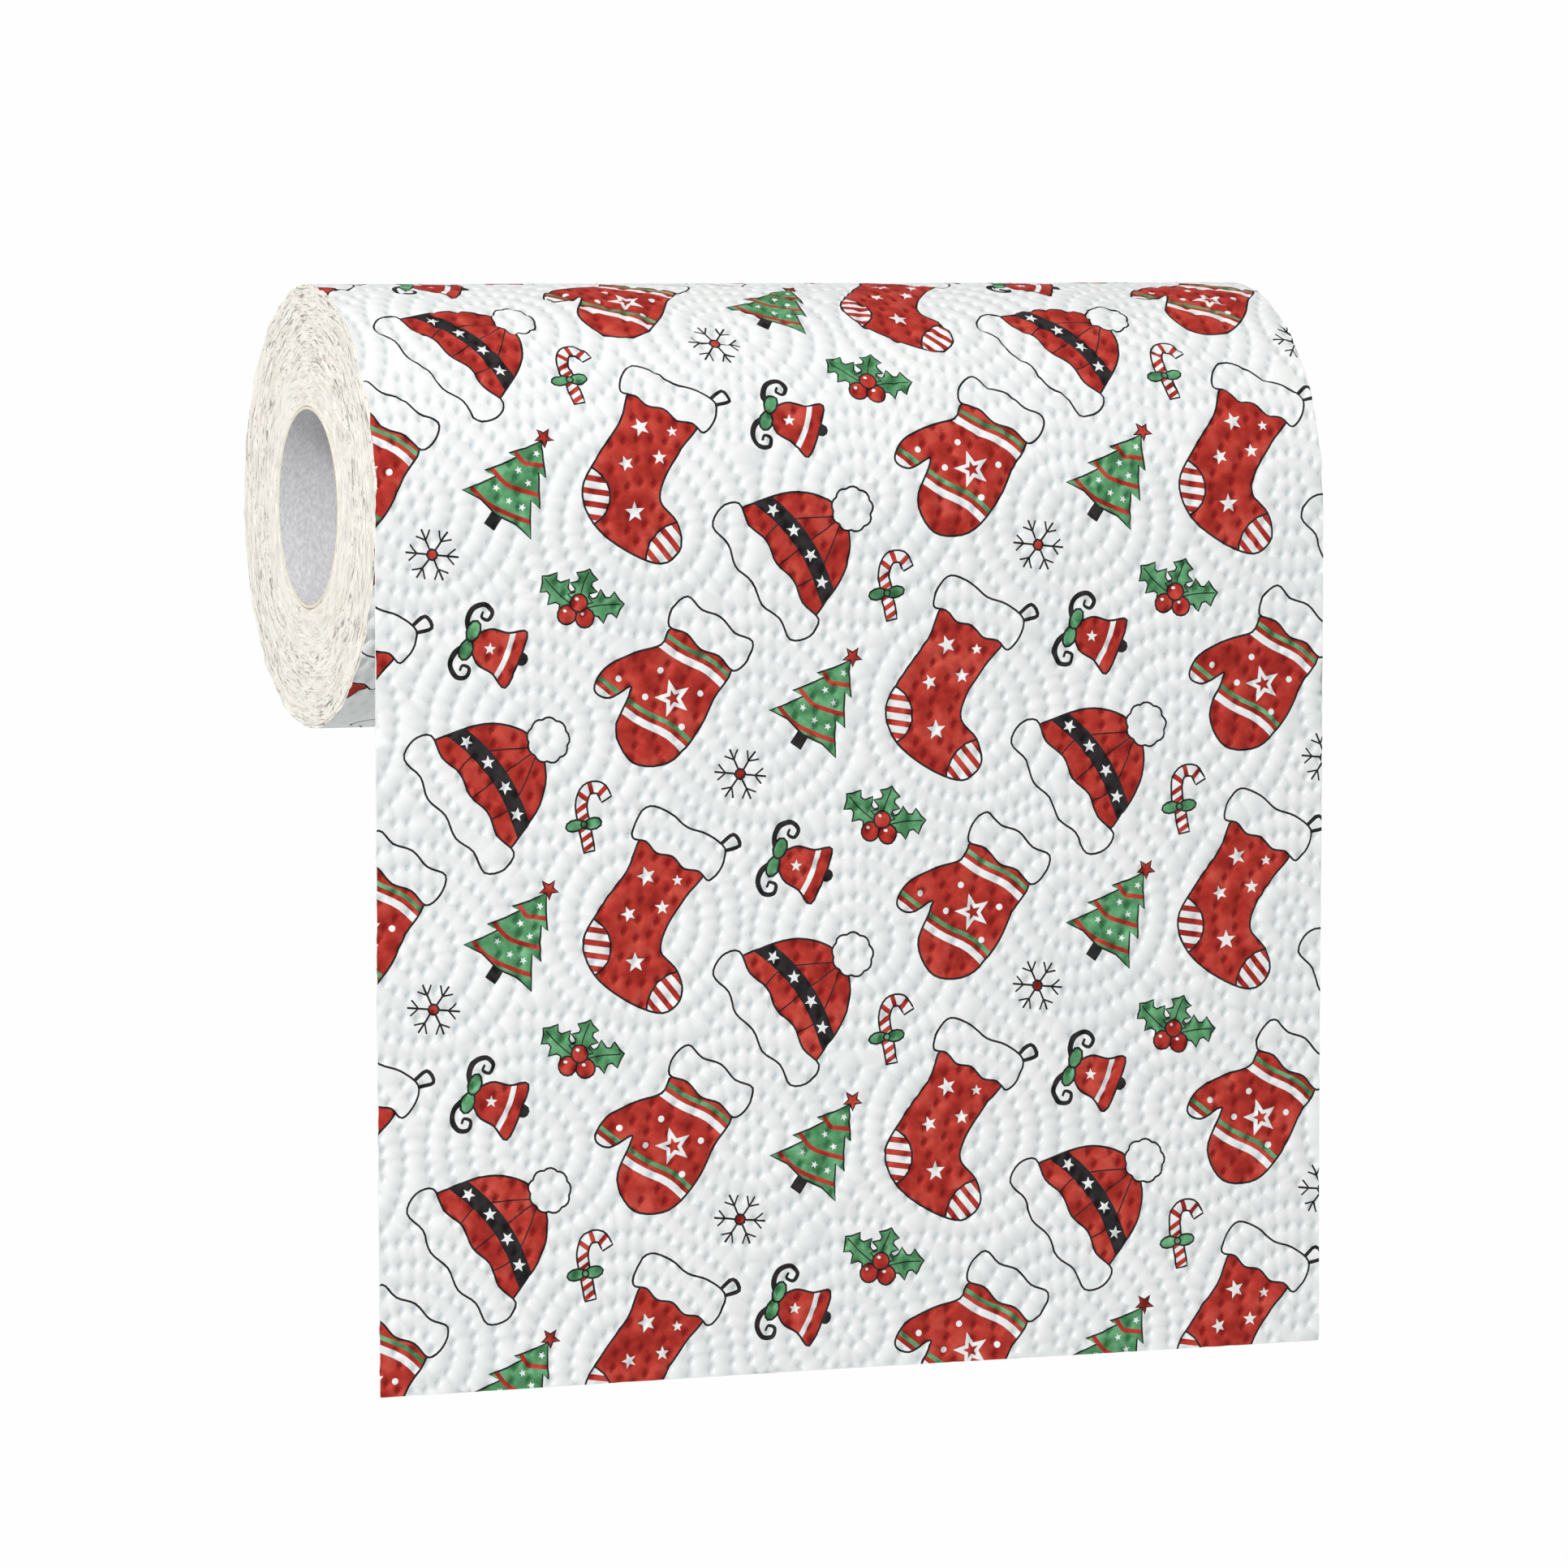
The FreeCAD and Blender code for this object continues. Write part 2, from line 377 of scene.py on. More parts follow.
def showing(layers):
    # Every layer with a note of which points of its outline show
    layers = [(ink, finer(outline), within) for ink, outline, within in layers]
    inwards = -printValues["overlap"]
    covers = [(grown(outline, inwards), [grown(hold, inwards) for hold in within])
              for ink, outline, within in layers]
    result = []
    for i, (ink, outline, within) in enumerate(layers):
        shows = np.ones(len(outline), bool)
        for hold in within:
            shows &= inPolygon(outline, hold)
        for cover in covers[i + 1:]:
            shows &= ~inLayer(outline, *cover)
        result.append((ink, outline, within, shows | np.roll(shows, 1) | np.roll(shows, -1)))
    return result


def printLayers(low, high):
    # All layers that reach between low and high along the sheet
    p, reach = printValues, printValues["motifReach"]
    drawings = [(showing(draw()), x, y, turn, size) for draw, x, y, turn, size in motifs]
    layers = []
    for column in range(-3, 4):
        for row in range(-5, 6):
            stagger = column % 2 * p["repeatAlong"] / 2
            for drawing, x, y, turn, size in drawings:
                middle = np.array([x + column * p["repeatAcross"] + p["shiftAcross"],
                                   y + row * p["repeatAlong"] + stagger + p["shiftAlong"]])
                nearSheet = low - reach < middle[1] < high + reach
                if abs(middle[0]) > sheetValues["halfWidth"] + reach or not nearSheet:
                    continue
                parts = moved([part[:3] for part in drawing], turn, middle, size)
                layers += [(*part, source[3]) for part, source in zip(parts, drawing)]
    return layers


def dimpleCentres(low, high):
    # Rings of dimples about the middle of each field. Those that lie farther inside their own field
    # come first, and those that are then too near to another are left out.
    e = embossValues
    rowGap, reach = e["fieldGap"] * math.sqrt(3) / 2, e["fieldReach"]
    middles = []
    for row in range(math.floor((low - reach) / rowGap), math.ceil((high + reach) / rowGap) + 1):
        for column in range(-4, 5):
            wanderAcross = e["fieldWander"] * math.sin(12.9 * row + 5.3 * column)
            wanderAlong = e["fieldWander"] * math.cos(7.7 * row - 9.1 * column)
            middles.append((column * e["fieldGap"] + row % 2 * e["fieldGap"] / 2 + wanderAcross,
                            row * rowGap + wanderAlong))
    middles = np.array(middles)
    found, rooms = [], []
    for own, middle in enumerate(middles):
        points = [middle[None]]
        for ring in range(e["rings"]):
            radius = e["firstRing"] + ring * e["ringGap"]
            count = round(2 * math.pi * radius / e["dimpleGap"])
            angle = (np.arange(count) + e["ringTwist"] * ring + e["fieldTwist"] * own) / count * 2 * math.pi
            points.append(around(*middle, radius, radius, angle))
        points = np.vstack(points)
        others = np.delete(middles, own, 0)
        toOthers = np.sum((points[:, None] - others) ** 2, 2)
        toOwn = np.sum((points - middle) ** 2, 1)[:, None]
        found.append(points)
        rooms.append(np.min((toOthers - toOwn) / (2 * np.linalg.norm(others - middle, axis=1)), 1))
    found, rooms = np.vstack(found), np.concatenate(rooms)
    inside = inBand(found, sheetValues["halfWidth"] + 2, low - 3, high + 3) & (rooms > -e["past"])
    found, rooms = found[inside], rooms[inside]

    # Those kept so far are in square cells, each wider than the closest that two may be
    cell, kept, cells = 5, [], {}
    for x, s in found[np.argsort(-rooms, kind="stable")]:
        column, row = math.floor(x / cell), math.floor(s / cell)
        near = [spot for a in (-1, 0, 1) for b in (-1, 0, 1) for spot in cells.get((column + a, row + b), ())]
        if all(math.hypot(x - otherX, s - otherS) > e["closest"] for otherX, otherS in near):
            kept.append((x, s))
            cells.setdefault((column, row), []).append((x, s))
    return np.array(kept)


def onDimples(middles, count, size, start):
    # Points round every dimple, at one share of the way out from its lowest point
    e, angle = embossValues, fullTurn(count, start)
    u = e["across"] * (e["lowest"][0] + size * (np.cos(angle) - e["lowest"][0]))
    w = e["along"] * (e["lowest"][1] + size * (np.sin(angle) - e["lowest"][1]))
    cos, sin = math.cos(e["tilt"]), math.sin(e["tilt"])
    return (middles[:, None] + np.stack([u * cos + w * sin, w * cos - u * sin], 1)).reshape(-1, 2)


def nearestTree(points):
    tree = kdtree.KDTree(len(points))
    for i, (x, s) in enumerate(points):
        tree.insert((x, s, 0), i)
    tree.balance()
    return tree


def dimpleShares(points, middles):
    # How deep each point lies, from 0 outside a dimple to 1 at its lowest point, and how much painted shade
    # it takes
    e, tree = embossValues, nearestTree(middles)
    off = points - middles[np.array([tree.find((x, s, 0))[1] for x, s in points])]
    cos, sin = math.cos(e["tilt"]), math.sin(e["tilt"])
    u = (off[:, 0] * cos - off[:, 1] * sin) / e["across"]
    w = (off[:, 0] * sin + off[:, 1] * cos) / e["along"]
    low = e["lowest"]
    du, dw = u - low[0], w - low[1]
    # How far out each point lies on the line from the lowest point to the rim, a circle in these units
    along, square = low[0] * du + low[1] * dw, du ** 2 + dw ** 2 + 1e-9
    wayOut = square / (np.sqrt(along ** 2 + square * (1 - low[0] ** 2 - low[1] ** 2)) - along)
    fromShadeMiddle = (u - e["paintedShadeMiddle"][0]) ** 2 + (w - e["paintedShadeMiddle"][1]) ** 2
    strength, fading = e["paintedShadeSpan"]
    return np.clip(1 - wayOut ** e["bowl"], 0, 1), np.clip(strength - fading * fromShadeMiddle, 0, 1)


def inSpace(x, s, out):
    # Where points of the sheet are, in metres, out being their distance in front of its printed face
    v, side = sheetValues, np.sign(x)
    uneven = v["edgeIn"]
    for height, length, start in v["edgeWaves"]:
        uneven = uneven + height * np.sin(s / length + start * side)
    nearEdge = np.clip((np.abs(x) - v["halfWidth"] + v["edgeBand"]) / v["edgeBand"], 0, 1) ** 2
    x = x - side * uneven * nearEdge * np.clip(s / v["edgeStart"], 0, 1)

    # Three stretches: the loose end, the half turn over the top and the half turn below
    r, half = v["rollRadius"], v["thickness"] / 2
    upper, lower = s / r, (s - math.pi * r) / (r - half)
    hangs = np.minimum(s, 0) / v["tailDrop"]
    swing = sum(v["sway"] * hangs * np.sin(x / across + s / along + start)
                for across, along, start in v["swayWaves"])
    stretches = [s < 0, upper < math.pi]
    y = np.select(stretches, [-r - out - swing, -(r + out) * np.cos(upper)],
                  half + (r - half + out) * np.cos(lower))
    z = np.select(stretches, [s, (r + out) * np.sin(upper)], -(r - half + out) * np.sin(lower))
    return np.stack([x, y, z], 1) / 1000


def triangulate(points, loops, low, high, snap=1e-3, nearest=1e-5):
    # Triangles between all the points, cut off at the sheet's own outline. The loops are edges of them,
    # where both ends of an edge are in use.
    half = sheetValues["halfWidth"]
    verts, edges = [tuple(p) for p in points], []
    for loop, inUse in loops:
        numbers = np.cumsum(inUse) + len(verts) - 1
        both = inUse & np.roll(inUse, -1)
        edges += [(int(a), int(b)) for a, b in zip(numbers[both], np.roll(numbers, -1)[both])]
        verts += [tuple(p) for p in loop[inUse]]
    found = geometry.delaunay_2d_cdt([Vector(p) for p in verts], edges, [], 0, nearest)
    flat, faces = np.array([tuple(p) for p in found[0]]), np.array(found[2])
    thin = np.zeros(len(faces), bool)
    for axis, line in ((0, -half), (0, half), (1, low), (1, high)):
        # Points beside the outline go onto it, and the faces that are then only a line are left out
        beside = np.abs(flat[:, axis] - line) < snap
        flat[beside, axis] = line
        thin |= beside[faces].all(1)
    faces = faces[~thin & inBand(flat[faces].mean(1), half, low, high)]
    used, faces = np.unique(faces, return_inverse=True)
    return flat[used], faces.reshape(-1, 3)


def sheetOutline(low, high, gap=1.9):
    # Points along the four sides of the sheet, once round
    half = sheetValues["halfWidth"]
    across = np.linspace(-half, half, round(2 * half / gap) + 1)
    along = np.linspace(low, high, round((high - low) / gap) + 1)
    return np.array([(x, low) for x in across[:-1]] + [(half, s) for s in along[:-1]]
                    + [(x, high) for x in across[:0:-1]] + [(-half, s) for s in along[:0:-1]])


def outlineOrder(flat, low, high):
    # The points on the sheet's own outline, once round it
    half = sheetValues["halfWidth"]
    x, s = flat[:, 0], flat[:, 1]
    order = []
    for on, key in ((s == low, x), (x == half, s), (s == high, -x), (x == -half, -s)):
        chosen = np.flatnonzero(on)
        order += list(chosen[np.argsort(key[chosen])])[:-1]
    return np.array(order)


def frontMesh(middles, layers, low, high, clearance=0.2, margin=0.3):
    # The printed face, with every line of the print, and the rings of every dimple that are clear of them
    points = np.vstack([onDimples(middles, *ring) for ring in embossValues["frontRings"]])
    points = points[inBand(points, sheetValues["halfWidth"] - margin, low + margin, high - margin)]
    loops = [(shape, shows) for ink, shape, within, shows in layers]
    tree = nearestTree(np.vstack([shape[shows] for shape, shows in loops]))
    clear = np.array([tree.find((x, s, 0))[2] > clearance for x, s in points])
    outline = sheetOutline(low, high)
    return triangulate(points[clear], loops + [(outline, np.ones(len(outline), bool))], low, high)


def backMesh(middles, rim, low, high, embossedTo, margin=0.6, gapAcross=24, gapAlong=6):
    # The back, with the rings of the dimples up to embossedTo, and past it with a few points only
    half = sheetValues["halfWidth"]
    shown = middles[middles[:, 1] < embossedTo]
    points = np.vstack([onDimples(shown, *ring) for ring in embossValues["backRings"]])
    points = points[inBand(points, half - margin, low + margin, embossedTo)]
    spots = np.array([(x, s) for s in np.arange(max(low, embossedTo) + 4, high - 2, gapAlong)
                      for x in np.arange(-half + 6, half - 5, gapAcross)])
    return triangulate(np.vstack([points, spots]), [(rim, np.ones(len(rim), bool))], low, high)


def inkOfFaces(flat, faces, layers):
    # Each face takes the ink of the topmost layer over it
    centre = flat[faces].mean(1)
    ink = np.zeros(len(faces), int)
    order = np.argsort(centre[:, 1])
    along = centre[order, 1]
    for layerInk, shape, within, shows in layers:
        first, last = np.searchsorted(along, (shape[:, 1].min(), shape[:, 1].max()))
        near = order[first:last]
        near = near[(centre[near, 0] > shape[:, 0].min()) & (centre[near, 0] < shape[:, 0].max())]
        ink[near[inLayer(centre[near], shape, within)]] = inks.index(layerInk)
    return ink


# Where a sheet lies on its map: the front at the left, the back at its right, the rim in a thin strip
mapValues = {
    "start": 0.005,
    "length": 0.99,
    "frontWidth": 0.62,
    "backAt": 0.64,
    "backWidth": 0.34,
    "rimSides": (0.988, 0.995),
}


def sheetMap(front, back, faces, rimCount, low, high):
    m, half = mapValues, sheetValues["halfWidth"]
    flat = np.vstack([front, back])
    share = (flat[:, 0] + half) / (2 * half)
    isBack = np.arange(len(flat)) >= len(front)
    u = np.where(isBack, share * m["backWidth"] + m["backAt"], share * m["frontWidth"] + m["start"])
    t = (flat[:, 1] - low) / (high - low) * m["length"] + m["start"]
    uv = np.stack([u[faces], t[faces]], 2)
    step = np.arange(rimCount) / rimCount * m["length"] + m["start"]
    corners = [np.stack([np.full(rimCount, side), at], 1)
               for at in (step, step + m["length"] / rimCount) for side in m["rimSides"]]
    uv[-2 * rimCount:] = np.vstack([np.stack([corners[i] for i in triangle], 1)
                                    for triangle in ((0, 1, 3), (0, 3, 2))])
    return uv


def selectOnly(obj):
    bpy.ops.object.select_all(action="DESELECT")
    obj.select_set(True)
    bpy.context.view_layer.objects.active = obj


def addMesh(name, verts, faces):
    mesh = bpy.data.meshes.new(name)
    mesh.from_pydata(verts.tolist(), [], faces)
    obj = bpy.data.objects.new(name, mesh)
    bpy.context.collection.objects.link(obj)
    return obj


def finishPiece(obj, angle):
    selectOnly(obj)
    bpy.ops.object.shade_smooth_by_angle(angle=math.radians(angle))
    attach(obj, "root")


def makeSheet(name, low, high, embossedTo):
    # Closed shell of the sheet from low to high, its back embossed below embossedTo and smooth above it
    v, e = sheetValues, embossValues
    middles, layers = dimpleCentres(low, high), printLayers(low, high)
    front, frontFaces = frontMesh(middles, layers, low, high)
    rim = outlineOrder(front, low, high)
    back, backFaces = backMesh(middles, front[rim], low, high, embossedTo)
    backRim = outlineOrder(back, low, high) + len(front)

    frontShare, frontPaintedShade = dimpleShares(front, middles)
    backShare, backPaintedShade = dimpleShares(back, middles)
    embossed = back[:, 1] < embossedTo
    backOut = -(v["thickness"] - v["air"]) - e["backHeight"] * backShare * embossed
    verts = np.vstack([inSpace(front[:, 0], front[:, 1], -e["depth"] * frontShare),
                       inSpace(back[:, 0], back[:, 1], backOut)])
    nextRim, nextBackRim = np.roll(rim, -1), np.roll(backRim, -1)
    faces = np.vstack([frontFaces, backFaces[:, ::-1] + len(front),
                       np.stack([rim, backRim, nextBackRim], 1), np.stack([rim, nextBackRim, nextRim], 1)])
    obj = addMesh(name, verts, faces.tolist())
    mesh = obj.data

    for material in inks + ["edges"]:
        mesh.materials.append(materials[material])
    slots = np.zeros(len(faces), np.int32)
    slots[:len(frontFaces)] = inkOfFaces(front, frontFaces, layers)
    slots[-2 * len(rim):] = np.where(np.tile(front[rim, 1] > 0, 2), len(inks), 0)
    mesh.polygons.foreach_set("material_index", slots)
    # Painted shade of the dimples, on the front and on the embossed back, by which the inks are darkened
    paintedShade = mesh.attributes.new("paintedShade", "FLOAT", "POINT")
    paintedShade.data.foreach_set("value", np.concatenate([frontPaintedShade, e["backShadeShare"] * backPaintedShade * embossed]))
    uv = mesh.uv_layers.new(name="OFBake")
    uv.data.foreach_set("uv", sheetMap(front, back, faces, len(rim), low, high).reshape(-1))
    finishPiece(obj, 60)
    print(name, "made,", len(middles), "dimples,", len(faces), "triangles")
    return obj


# Materials
def linear(tone):
    # A tone whose parts go from 0 to 255, in the numbers that a shader takes
    return tuple((c / 255 / 12.92 if c < 11 else ((c / 255 + 0.055) / 1.055) ** 2.4) for c in tone) + (1,)


def grey(level):
    return (level, level, level, 1)


def newMaterial(name, roughness):
    material = bpy.data.materials.new(name)
    material.use_nodes = True
    nodes, links = material.node_tree.nodes, material.node_tree.links
    shader = nodes["Principled BSDF"]
    shader.inputs["Roughness"].default_value = roughness
    shader.inputs["Specular IOR Level"].default_value = 0.25
    return material, nodes, links, shader


def addNoise(nodes, links, vector, scale, detail=2.0, rough=0.5):
    noise = nodes.new("ShaderNodeTexNoise")
    noise.inputs["Scale"].default_value = scale
    noise.inputs["Detail"].default_value = detail
    noise.inputs["Roughness"].default_value = rough
    links.new(vector, noise.inputs["Vector"])
    return noise.outputs["Fac"]


def addRamp(nodes, links, value, stops):
    ramp = nodes.new("ShaderNodeValToRGB")
    elements = ramp.color_ramp.elements
    while len(elements) < len(stops):
        elements.new(0.5)
    for element, (position, colour) in zip(elements, stops):
        element.position = position
        element.color = colour
    links.new(value, ramp.inputs["Fac"])
    return ramp.outputs["Color"]


def addTones(nodes, links, value, tones):
    return addRamp(nodes, links, value, [(at, linear(tone)) for at, tone in tones])


def addMix(nodes, links, amount, under, overTone):
    mix = nodes.new("ShaderNodeMix")
    mix.data_type = "RGBA"
    links.new(amount, mix.inputs["Factor"])
    links.new(under, mix.inputs["A"])
    mix.inputs["B"].default_value = linear(overTone)
    return mix.outputs["Result"]


def addBump(nodes, links, shader, height, strength, distance):
    bump = nodes.new("ShaderNodeBump")
    bump.inputs["Strength"].default_value = strength
    bump.inputs["Distance"].default_value = distance
    links.new(height, bump.inputs["Height"])
    links.new(bump.outputs["Normal"], shader.inputs["Normal"])


# Each ink: its tones from dark to light, its tone where the painted shade of a dimple is full, and how fine
# its wash is
inkValues = {
    "paper": ([(0.3, (235, 238, 237)), (0.7, (242, 244, 242))], (218, 224, 225), 60),
    "red": ([(0.32, (154, 36, 28)), (0.5, (184, 54, 43)), (0.7, (204, 80, 66))], (140, 24, 20), 210),
    "green": ([(0.32, (62, 120, 76)), (0.5, (92, 156, 107)), (0.7, (124, 188, 140))], (52, 112, 68), 240),
    "dark": ([(0.3, (26, 24, 26)), (0.7, (54, 50, 52))], (18, 16, 18), 300),
}

# The fibres of the tissue: how fine, how strong, how high
fibreValues = {"scale": 2600, "strength": 0.35, "height": 0.00006}


def inkMaterial(name):
    tones, paintedShadeTone, fineness = inkValues[name]
    material, nodes, links, shader = newMaterial("sheet_" + name, 0.9)
    spot = nodes.new("ShaderNodeTexCoord").outputs["Object"]
    wash = addTones(nodes, links, addNoise(nodes, links, spot, fineness, 3), tones)
    # Painted shade of the dimples darkens the ink towards its shaded tone
    paintedShade = nodes.new("ShaderNodeAttribute")
    paintedShade.attribute_name = "paintedShade"
    colour = addMix(nodes, links, paintedShade.outputs["Fac"], wash, paintedShadeTone)
    links.new(colour, shader.inputs["Base Color"])
    fibres = addNoise(nodes, links, spot, fibreValues["scale"], 2)
    addBump(nodes, links, shader, fibres, fibreValues["strength"], fibreValues["height"])
    return material


# Ends of the roll, where the edges of the turns show
edgeValues = {
    "tones": ((0.3, (237, 233, 223)), (0.55, (244, 240, 231))),
    "mottle": 160,
    "calmInside": 0.0265,
    "busyOutside": 0.040,
    "calmest": 0.4,
    "patchScale": 110,
    "patchCalm": 0.45,
    "waveScale": 70,
    "waveHeight": 0.004,
    "foldAt": 0.0345,
    "foldWide": 0.0022,
    "foldScale": 45,
    "foldWave": 0.009,
    # Tone, how fine round the axis and outwards, detail, where it starts and is full, and its strength
    "shade": ((210, 203, 192), 4.0, 620.0, 2, 0.48, 0.72, 0.55),
    "streaks": (
        ((134, 132, 128), 8.0, 1700.0, 2, 0.54, 0.66, 0.9),
        ((196, 96, 88), 20.0, 2100.0, 1, 0.66, 0.74, 0.6),
        ((84, 90, 86), 24.0, 2300.0, 1, 0.64, 0.72, 0.85),
    ),
    "relief": (20.0, 2600.0, 3, 0.3, 0.7, 1.0),
}


def edgeMaterial():
    v = edgeValues
    material, nodes, links, shader = newMaterial("paper_edges", 0.95)
    spot = nodes.new("ShaderNodeTexCoord").outputs["Object"]
    axes = nodes.new("ShaderNodeSeparateXYZ")
    links.new(spot, axes.inputs["Vector"])
    flat = nodes.new("ShaderNodeCombineXYZ")
    links.new(axes.outputs["Y"], flat.inputs["Y"])
    links.new(axes.outputs["Z"], flat.inputs["Z"])

    def vector(operation, first, second=None):
        node = nodes.new("ShaderNodeVectorMath")
        node.operation = operation
        links.new(first, node.inputs[0])
        if operation == "SCALE":
            node.inputs["Scale"].default_value = second
        elif second is not None:
            links.new(second, node.inputs[1])
        return node.outputs["Value" if operation == "LENGTH" else "Vector"]

    def number(operation, first, second):
        node = nodes.new("ShaderNodeMath")
        node.operation = operation
        for socket, value in zip(node.inputs, (first, second)):
            if isinstance(value, float):
                socket.default_value = value
            else:
                links.new(value, socket)
        return node.outputs["Value"]

    # The direction from the axis, the distance from it, and that distance made wavy
    way = vector("NORMALIZE", flat.outputs["Vector"])
    size = vector("LENGTH", flat.outputs["Vector"])

    def wavySize(scale, height):
        return number("ADD", size, number("MULTIPLY", addNoise(nodes, links, spot, scale, 1), height))

    wavy = wavySize(v["waveScale"], v["waveHeight"])

    def streaks(about, outwards, detail, low, high, most):
        # Streaks that follow the turns, because the noise is many times finer outwards than round the axis
        far = nodes.new("ShaderNodeCombineXYZ")
        links.new(number("MULTIPLY", wavy, outwards), far.inputs["X"])
        place = vector("ADD", vector("SCALE", way, about), far.outputs["Vector"])
        return addRamp(nodes, links, addNoise(nodes, links, place, 1.0, detail, 0.6),
                       [(low, grey(0)), (high, grey(most))])

    # Few streaks near the core and many outside, in patches, and more in one wavy ring of pressed turns
    busy = nodes.new("ShaderNodeMapRange")
    busy.inputs["From Min"].default_value = v["calmInside"]
    busy.inputs["From Max"].default_value = v["busyOutside"]
    busy.inputs["To Min"].default_value = v["calmest"]
    links.new(size, busy.inputs["Value"])
    patches = addRamp(nodes, links, addNoise(nodes, links, spot, v["patchScale"], 2),
                      [(0.4, grey(v["patchCalm"])), (0.6, grey(1))])
    ringAt = wavySize(v["foldScale"], v["foldWave"])
    away = number("ABSOLUTE", number("SUBTRACT", ringAt, v["foldAt"] + v["foldWave"] / 2), 0.0)
    fold = number("MAXIMUM", number("SUBTRACT", 1.0, number("DIVIDE", away, v["foldWide"])), 0.0)
    patchy = number("MULTIPLY", busy.outputs["Result"], patches)
    often = number("MINIMUM", number("ADD", patchy, fold), 1.0)

    base = addTones(nodes, links, addNoise(nodes, links, spot, v["mottle"], 3), v["tones"])
    shadeTone, *shade = v["shade"]
    colour = addMix(nodes, links, streaks(*shade), base, shadeTone)
    for tone, *kind in v["streaks"]:
        colour = addMix(nodes, links, number("MULTIPLY", streaks(*kind), often), colour, tone)
    links.new(colour, shader.inputs["Base Color"])
    addBump(nodes, links, shader, streaks(*v["relief"]), 0.25, 0.0002)
    return material


materials = {name: inkMaterial(name) for name in inks}
materials["edges"] = edgeMaterial()
print("materials made")

# The front of the roll with the loose end, whose back shows up to the roll, and the rest of the first turn
sheet = sheetValues
turnEnd = math.pi * (2 * sheet["rollRadius"] - sheet["thickness"] / 2) - sheet["air"]
makeSheet("loose_sheet", -sheet["tailDrop"], sheet["seamAt"], embossedTo=0)
makeSheet("outer_turn", sheet["seamAt"], turnEnd, embossedTo=-math.inf)


# The turns under the two outer sheets, as one spiral body with every turn's edge at both ends
turnValues = {
    "segments": 180,
    "boreRadius": 22.85,
    "edgeIn": 0.04,
    "edgeRough": 0.06,
    "grooveDepth": 0.13,
    "grooveRough": 0.08,
    "wander": 0.08,
    "wave": 0.45,
    "waveCounts": (2, 3, 5, 7),
    "most": 1.6,
    "seed": 4,
}


def makeTurns():
    v, t = sheetValues, turnValues
    half, thick, bore = v["halfWidth"], v["thickness"], t["boreRadius"]
    steps, outer = t["segments"], v["rollRadius"] - thick
    rows = 2 * math.ceil((outer - bore) / thick) + 1
    angle = fullTurn(steps)
    lower = angle >= math.pi
    axis, reach = np.where(lower, thick / 2, 0), np.where(lower, outer - thick / 2, outer)
    rng = np.random.default_rng(t["seed"])

    def rough(spread, evening=1.7):
        # Uneven numbers along each turn, evened out over the neighbours
        raw = rng.normal(size=(rows, steps))
        smooth = sum(np.roll(raw, k, 1) for k in (-1, 0, 1)) / evening
        return spread * np.clip(smooth, -t["most"], t["most"])

    verts = []
    for side in (-1, 1):
        depth = np.linspace(0, 1, rows)[:, None]
        waves = sum(np.sin(k * angle + side + 3 * k + 5 * depth * np.sin(k)) / k for k in t["waveCounts"])
        shift = rough(t["wander"]) + t["wave"] * waves * np.sin(math.pi * depth)
        shift[0] = shift[-1] = 0
        edge, groove = np.abs(rough(t["edgeRough"])), rough(t["grooveRough"])
        for row in range(rows):
            # Even rows are the sheets' edges, and odd ones the grooves between them
            radius = np.maximum(reach - row * thick / 2 + shift[row], bore)
            inwards = t["edgeIn"] + (edge[row] if row % 2 == 0 else t["grooveDepth"] + groove[row])
            y, z = axis - radius * np.cos(angle), radius * np.sin(angle)
            if row == rows - 1:
                y, z = -bore * np.cos(angle), bore * np.sin(angle)
            verts.append(np.stack([side * (half - np.abs(inwards)), y, z], 1))

    def at(side, row, step):
        # One turn on, a row continues as the second row inside it
        if step == steps:
            row, step = min(row + 2, rows - 1), 0
        return (side * rows + row) * steps + step

    faces = []
    for step in range(steps):
        for row in range(rows - 1):
            for side in (0, 1):
                quad = [at(side, row, step), at(side, row, step + 1),
                        at(side, row + 1, step + 1), at(side, row + 1, step)]
                faces.append(quad if side == 0 else quad[::-1])
        for row, flip in ((0, True), (rows - 1, False)):
            quad = [at(0, row, step), at(0, row, step + 1), at(1, row, step + 1), at(1, row, step)]
            faces.append(quad if flip else quad[::-1])
    for row in (0, 1):
        faces.append([at(0, row, 0), at(0, row + 1, 0), at(1, row + 1, 0), at(1, row, 0)])
    faces = [list(dict.fromkeys(face)) for face in faces]
    obj = addMesh("wound_turns", np.vstack(verts) / 1000, [face for face in faces if len(face) > 2])
    selectOnly(obj)
    bpy.ops.object.mode_set(mode="EDIT")
    bpy.ops.mesh.select_all(action="SELECT")
    bpy.ops.mesh.remove_doubles(threshold=0.00001)
    bpy.ops.mesh.normals_make_consistent(inside=False)
    bpy.ops.object.mode_set(mode="OBJECT")
    obj.data.materials.append(materials["edges"])
    finishPiece(obj, 60)
    print("wound_turns made,", rows // 2, "turns,", len(obj.data.polygons), "faces")
    return obj


turns = makeTurns()
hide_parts("paper")


# Card tube, as long as the sheet is wide
coreValues = {
    "boreRadius": frame["record"]["mounts"][0]["dims"]["r_mm"] / 1000,
    "wall": 0.0007,
    "length": 2 * sheet["halfWidth"] / 1000,
    "rounding": 0.00012,
    "sides": 128,
    "insideTones": ((0.3, (186, 186, 190)), (0.55, (206, 205, 207)), (0.75, (224, 221, 221))),
    "fibreTurn": (0.6, 0.5, 0.7),
    "fibreScale": (1500, 420, 900),
    "rimTones": ((0.3, (216, 208, 184)), (0.7, (238, 232, 212))),
    "rimFibres": 1800,
    "fibreHeight": 0.0001,
}


